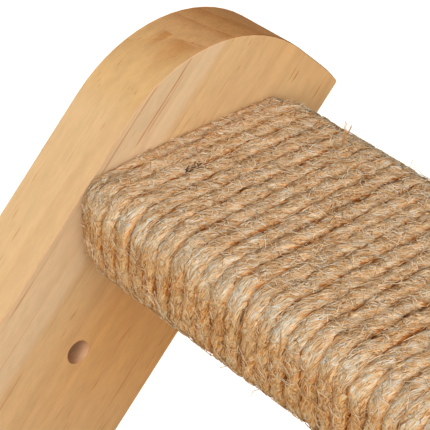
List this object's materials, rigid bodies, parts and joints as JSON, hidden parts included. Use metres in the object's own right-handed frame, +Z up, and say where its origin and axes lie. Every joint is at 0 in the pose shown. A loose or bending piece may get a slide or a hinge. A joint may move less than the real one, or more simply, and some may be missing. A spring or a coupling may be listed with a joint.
{
  "type": "cat wall stair",
  "caption": "Diagonal pine wall plate with horizontal rope-wrapped treads standing out of its front, a climbing stair for cats that screws to a wall.",
  "frame": {"origin": "centre of the middle wall screw's hole, on the wall face of the plate", "axes": "+Z up, +X right along the wall as seen from the room, +Y into the wall"},
  "size_m": [0.36, 0.226, 0.3274],
  "materials": {
    "pine_plate": "clear satin",
    "pine_core": "bare planed",
    "jute_rope": "twisted natural fibre",
    "zinc_steel": "zinc plated",
    "zinc_insert": "turned",
    "beech_dowel": "bare"
  },
  "bodies": {
    "root": {"wall_plate": "pine_plate", "tread_1_core": "pine_core", "tread_1_rope_inner": "jute_rope", "tread_1_rope_outer": "jute_rope", "tread_1_bolts": "zinc_steel", "tread_1_washers": "zinc_steel", "tread_1_inserts": "zinc_insert", "tread_1_dowel": "beech_dowel", "tread_2_core": "pine_core", "tread_2_rope_inner": "jute_rope", "tread_2_rope_outer": "jute_rope", "tread_2_bolts": "zinc_steel", "tread_2_washers": "zinc_steel", "tread_2_inserts": "zinc_insert", "tread_2_dowel": "beech_dowel", "tread_3_core": "pine_core", "tread_3_rope_inner": "jute_rope", "tread_3_rope_outer": "jute_rope", "tread_3_bolts": "zinc_steel", "tread_3_washers": "zinc_steel", "tread_3_inserts": "zinc_insert", "tread_3_dowel": "beech_dowel", "tread_4_core": "pine_core", "tread_4_rope_inner": "jute_rope", "tread_4_rope_outer": "jute_rope", "tread_4_bolts": "zinc_steel", "tread_4_washers": "zinc_steel", "tread_4_inserts": "zinc_insert", "tread_4_dowel": "beech_dowel"}
  },
  "joints": []
}
